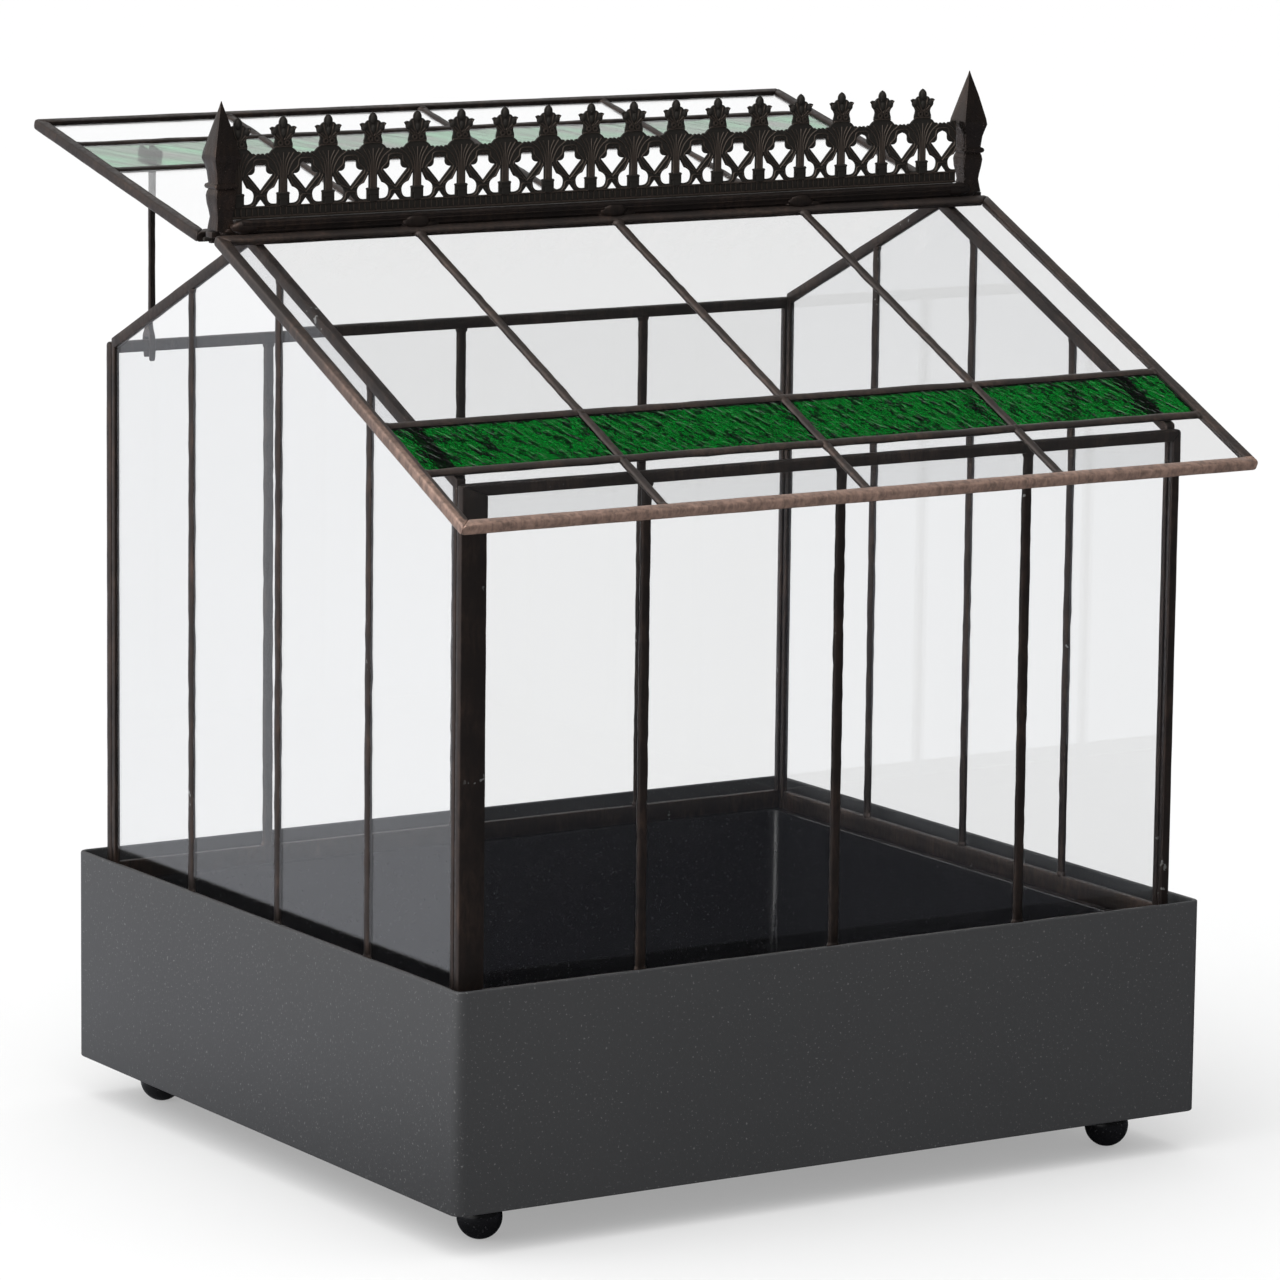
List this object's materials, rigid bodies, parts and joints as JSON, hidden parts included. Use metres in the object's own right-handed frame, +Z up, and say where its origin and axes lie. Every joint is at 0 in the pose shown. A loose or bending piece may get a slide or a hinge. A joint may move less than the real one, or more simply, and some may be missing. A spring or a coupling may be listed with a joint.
{
  "type": "glass cloche",
  "caption": "Glass plant house on a footed metal planter, with a fixed front roof, pierced ridge cresting, spearhead finials and a hinged rear lid held open by a forked prop.",
  "frame": {"origin": "on the surface that the object stands on, under the middle of its overall box with the lid propped open", "axes": "+Z up, X along the ridge, -Y towards the fixed front roof and +Y towards the hinged lid"},
  "size_m": [0.4056, 0.3852, 0.4685],
  "materials": {
    "planter_paint": "satin dark grey paint",
    "foot_metal": "gloss black",
    "liner_gloss": "gloss black, slightly wavy",
    "clear_glass": "clear sheet glass",
    "green_glass": "streaky green rolled glass",
    "lid_green_glass": "streaky green rolled glass seen against the light",
    "cast_patina": "dark bronze patina with copper-brown highlights",
    "hardware_patina": "dark bronze patina",
    "frame_patina": "soldered came with dark bronze patina and copper-brown edges"
  },
  "bodies": {
    "planter": {"planter_box": "planter_paint", "foot_front_left": "foot_metal", "foot_front_right": "foot_metal", "foot_back_left": "foot_metal", "foot_back_right": "foot_metal"},
    "liner": {"liner_tray": "liner_gloss"},
    "house": {"front_wall_frame": "frame_patina", "back_wall_frame": "frame_patina", "left_gable_frame": "frame_patina", "right_gable_frame": "frame_patina", "front_wall_pane_1": "clear_glass", "front_wall_pane_2": "clear_glass", "front_wall_pane_3": "clear_glass", "front_wall_pane_4": "clear_glass", "back_wall_pane_1": "clear_glass", "back_wall_pane_2": "clear_glass", "back_wall_pane_3": "clear_glass", "back_wall_pane_4": "clear_glass", "left_gable_pane_1": "clear_glass", "left_gable_pane_2": "clear_glass", "left_gable_pane_3": "clear_glass", "left_gable_pane_4": "clear_glass", "right_gable_pane_1": "clear_glass", "right_gable_pane_2": "clear_glass", "right_gable_pane_3": "clear_glass", "right_gable_pane_4": "clear_glass", "front_roof_frame": "frame_patina", "front_roof_upper_pane_1": "clear_glass", "front_roof_upper_pane_2": "clear_glass", "front_roof_upper_pane_3": "clear_glass", "front_roof_upper_pane_4": "clear_glass", "front_roof_band_pane_1": "green_glass", "front_roof_band_pane_2": "green_glass", "front_roof_band_pane_3": "green_glass", "front_roof_band_pane_4": "green_glass", "front_roof_edge_pane_1": "clear_glass", "front_roof_edge_pane_2": "clear_glass", "front_roof_edge_pane_3": "clear_glass", "front_roof_edge_pane_4": "clear_glass", "ridge_bar": "frame_patina", "ridge_cresting": "cast_patina", "finial_left": "cast_patina", "finial_right": "cast_patina", "hinge_rod": "hardware_patina"},
    "lid": {"lid_frame": "frame_patina", "lid_hinge_tube": "hardware_patina", "prop_pivot_pin": "hardware_patina", "lid_upper_pane_1": "clear_glass", "lid_upper_pane_2": "clear_glass", "lid_upper_pane_3": "clear_glass", "lid_upper_pane_4": "clear_glass", "lid_band_pane_1": "lid_green_glass", "lid_band_pane_2": "lid_green_glass", "lid_band_pane_3": "lid_green_glass", "lid_band_pane_4": "lid_green_glass", "lid_edge_pane_1": "clear_glass", "lid_edge_pane_2": "clear_glass", "lid_edge_pane_3": "clear_glass", "lid_edge_pane_4": "clear_glass"},
    "prop": {"prop_rod": "hardware_patina"}
  },
  "joints": [
    {"name": "house_lift", "type": "slide", "parent": "planter", "child": "house", "axis": [0, 0, 1], "range_m": [0, 0.25]},
    {"name": "liner_lift", "type": "slide", "parent": "planter", "child": "liner", "axis": [0, 0, 1], "range_m": [0, 0.125]},
    {"name": "lid_hinge", "type": "hinge", "parent": "house", "child": "lid", "pos_m": [0, 0.03488, 0.40804], "axis": [1, 0, 0], "range_deg": [-38.3, 0]},
    {"name": "prop_swing", "type": "hinge", "parent": "lid", "child": "prop", "pos_m": [-0.162, 0.15238, 0.42965], "axis": [1, 0, 0], "range_deg": [-71, 0]}
  ],
  "couplings": [
    {"joint": "liner_lift", "follows": "house_lift", "ratio": 0.5},
    {"joint": "prop_swing", "follows": "lid_hinge", "ratio": 1.846}
  ]
}
